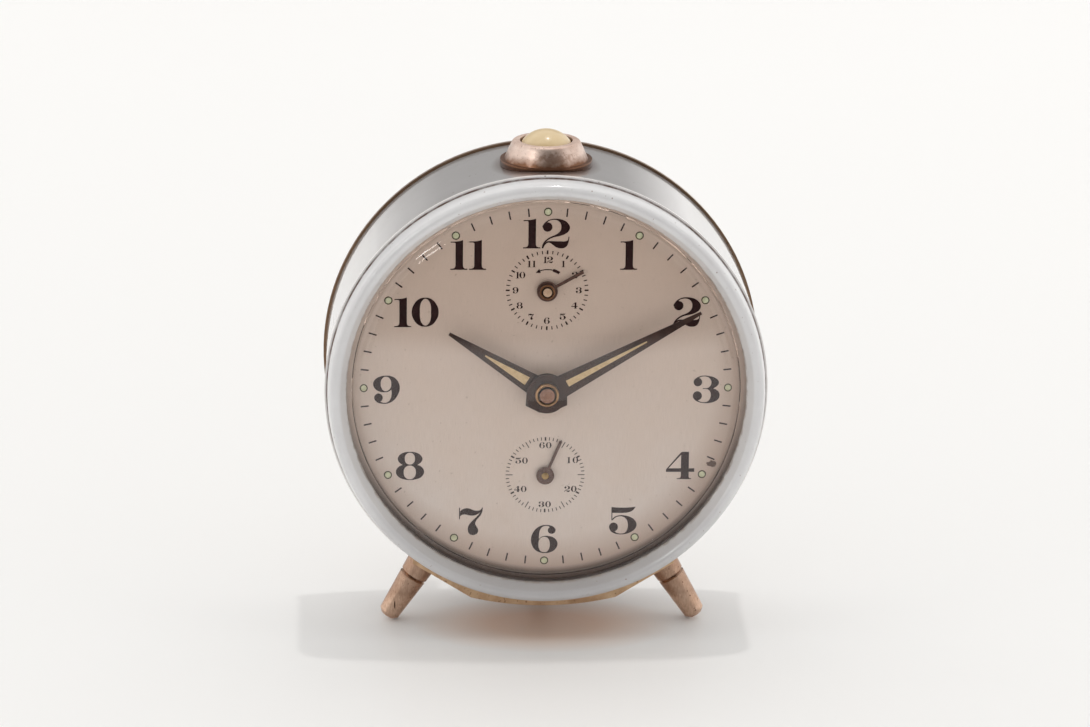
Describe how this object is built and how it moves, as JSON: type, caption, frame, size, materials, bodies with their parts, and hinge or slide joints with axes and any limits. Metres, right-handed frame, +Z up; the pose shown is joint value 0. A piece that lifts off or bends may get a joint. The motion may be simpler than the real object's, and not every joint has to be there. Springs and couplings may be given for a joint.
{
  "type": "wind-up alarm clock",
  "caption": "Wind-up drum alarm clock with a domed crystal, twelve-hour dial, alarm and seconds subdials, top stop button, peg legs and a full going and alarm train.",
  "frame": {"origin": "on the surface it stands on, under the middle of its bounding box", "axes": "+Z up, the dial faces -Y, +X to the right of someone reading the dial"},
  "size_m": [0.089, 0.0454, 0.1022],
  "materials": {
    "white_lacquer": "gloss",
    "bronze_lacquer": "satin",
    "clear": "polished",
    "dark_ring": "satin",
    "dial_silver": "matte",
    "worn_nickel": "worn satin",
    "brass": "satin",
    "ivory": "gloss",
    "blued_hand": "satin",
    "lume": "matte",
    "steel": "satin",
    "nickel": "polished",
    "foot_rubber": "matte"
  },
  "bodies": {
    "case": {"drum_case": "white_lacquer", "bezel": "white_lacquer", "crystal": "clear", "dial_ring": "dark_ring", "dial": "dial_silver", "back_cover": "bronze_lacquer", "leg_saddle": "brass", "left_leg": "worn_nickel", "right_leg": "worn_nickel", "rear_foot": "foot_rubber", "leg_nuts": "brass", "button_collar": "worn_nickel", "collar_nut": "brass", "front_plate": "brass", "back_plate": "brass", "pillars": "steel", "standoffs": "steel", "cover_screws": "nickel", "plate_studs": "steel", "time_mainspring": "steel", "alarm_mainspring": "steel", "hairspring": "steel", "gong_stud": "steel"},
    "minute_arbor": {"centre_wheel": "brass", "cannon_pinion": "brass", "minute_hand": "blued_hand", "minute_lume": "lume", "hand_nut": "brass", "set_knob": "nickel"},
    "hour_arbor": {"hour_wheel": "brass", "hour_hand": "blued_hand", "hour_lume": "lume"},
    "minute_wheel": {"minute_wheel": "brass"},
    "alarm_wheel": {"alarm_wheel": "brass"},
    "time_great": {"time_great_wheel": "brass"},
    "time_winding": {"time_arbor": "steel", "time_ratchet": "steel", "time_key": "nickel"},
    "time_click": {"time_click": "steel"},
    "third": {"third_wheel": "brass"},
    "seconds_arbor": {"fourth_wheel": "brass", "seconds_hand": "blued_hand"},
    "escape": {"escape_wheel": "brass"},
    "pallet": {"pallet_lever": "steel"},
    "balance": {"balance_wheel": "brass"},
    "regulator": {"regulator_lever": "steel"},
    "alarm_great": {"alarm_great_wheel": "brass"},
    "alarm_winding": {"alarm_winding_arbor": "steel", "alarm_ratchet": "steel", "alarm_key": "nickel"},
    "alarm_click": {"alarm_click": "steel"},
    "alarm_escape": {"alarm_escape_wheel": "brass"},
    "hammer": {"hammer": "steel"},
    "alarm_setting": {"alarm_arbor": "brass", "alarm_hand": "blued_hand", "alarm_set_knob": "nickel"},
    "stop_button": {"stop_button": "ivory", "button_clip": "steel"},
    "stop_lever": {"stop_lever": "steel"}
  },
  "joints": [
    {"name": "minute_turn", "type": "hinge", "parent": "case", "child": "minute_arbor", "pos_m": [0, -0.00137, 0.0517], "axis": [0, 1, 0], "continuous": true},
    {"name": "hour_turn", "type": "hinge", "parent": "case", "child": "hour_arbor", "pos_m": [0, -0.00137, 0.0517], "axis": [0, 1, 0], "continuous": true},
    {"name": "minute_wheel_turn", "type": "hinge", "parent": "case", "child": "minute_wheel", "pos_m": [0.01269, -0.01268, 0.0517], "axis": [0, 1, 0], "continuous": true},
    {"name": "alarm_wheel_turn", "type": "hinge", "parent": "case", "child": "alarm_wheel", "pos_m": [0, -0.01268, 0.072], "axis": [0, 1, 0], "continuous": true},
    {"name": "great_turn", "type": "hinge", "parent": "case", "child": "time_great", "pos_m": [0.01894, -0.00137, 0.05521], "axis": [0, 1, 0], "continuous": true},
    {"name": "third_turn", "type": "hinge", "parent": "case", "child": "third", "pos_m": [-0.01007, -0.00137, 0.04156], "axis": [0, 1, 0], "continuous": true},
    {"name": "seconds_turn", "type": "hinge", "parent": "case", "child": "seconds_arbor", "pos_m": [0, -0.00137, 0.0334], "axis": [0, 1, 0], "continuous": true},
    {"name": "escape_turn", "type": "hinge", "parent": "case", "child": "escape", "pos_m": [0.00873, -0.00137, 0.02836], "axis": [0, 1, 0], "continuous": true},
    {"name": "time_wind", "type": "hinge", "parent": "time_great", "child": "time_winding", "pos_m": [0.01894, -0.00137, 0.05521], "axis": [0, 1, 0], "range_deg": [0, 1800]},
    {"name": "time_click_lift", "type": "hinge", "parent": "time_great", "child": "time_click", "pos_m": [0.01894, -0.00137, 0.06281], "axis": [0, -1, 0], "range_deg": [0, 12]},
    {"name": "pallet_swing", "type": "hinge", "parent": "case", "child": "pallet", "pos_m": [0.01545, -0.00137, 0.02883], "axis": [0, 1, 0], "range_deg": [-2.5, 2.5]},
    {"name": "balance_swing", "type": "hinge", "parent": "case", "child": "balance", "pos_m": [0.02442, -0.00137, 0.02946], "axis": [0, 1, 0], "range_deg": [-180, 180], "stiffness_Nm_per_rad": 0.000007},
    {"name": "regulator_turn", "type": "hinge", "parent": "case", "child": "regulator", "pos_m": [0.02442, 0.00713, 0.02946], "axis": [0, 1, 0], "range_deg": [-15, 15]},
    {"name": "alarm_great_turn", "type": "hinge", "parent": "case", "child": "alarm_great", "pos_m": [-0.0189, -0.00137, 0.0552], "axis": [0, 1, 0], "continuous": true},
    {"name": "alarm_escape_turn", "type": "hinge", "parent": "case", "child": "alarm_escape", "pos_m": [-0.02133, -0.00137, 0.06899], "axis": [0, 1, 0], "continuous": true},
    {"name": "alarm_wind", "type": "hinge", "parent": "alarm_great", "child": "alarm_winding", "pos_m": [-0.0189, -0.00137, 0.0552], "axis": [0, 1, 0], "range_deg": [0, 1440]},
    {"name": "alarm_click_lift", "type": "hinge", "parent": "alarm_great", "child": "alarm_click", "pos_m": [-0.0189, -0.00137, 0.0476], "axis": [0, -1, 0], "range_deg": [0, 12]},
    {"name": "hammer_swing", "type": "hinge", "parent": "case", "child": "hammer", "pos_m": [-0.01717, -0.00137, 0.07395], "axis": [0, -1, 0], "range_deg": [-5, 5]},
    {"name": "alarm_set", "type": "hinge", "parent": "case", "child": "alarm_setting", "pos_m": [0, -0.00137, 0.072], "axis": [0, 1, 0], "continuous": true},
    {"name": "button_press", "type": "slide", "parent": "case", "child": "stop_button", "axis": [0, 0, -1], "range_m": [0, 0.0018], "stiffness_N_per_m": 500, "springref_m": -0.001},
    {"name": "stop_lever_turn", "type": "hinge", "parent": "case", "child": "stop_lever", "pos_m": [0.01199, 0.00713, 0.0797], "axis": [0, -1, 0], "range_deg": [0, 10.5]}
  ],
  "couplings": [
    {"joint": "hour_turn", "follows": "minute_turn", "ratio": 0.083333},
    {"joint": "minute_wheel_turn", "follows": "minute_turn", "ratio": -0.33333},
    {"joint": "alarm_wheel_turn", "follows": "minute_turn", "ratio": -0.083333},
    {"joint": "great_turn", "follows": "minute_turn", "ratio": -0.16667},
    {"joint": "third_turn", "follows": "minute_turn", "ratio": -7.5},
    {"joint": "seconds_turn", "follows": "minute_turn", "ratio": 60},
    {"joint": "escape_turn", "follows": "minute_turn", "ratio": -480},
    {"joint": "alarm_escape_turn", "follows": "alarm_great_turn", "ratio": -6},
    {"joint": "stop_lever_turn", "follows": "button_press", "rad_per_m": 98.902}
  ]
}
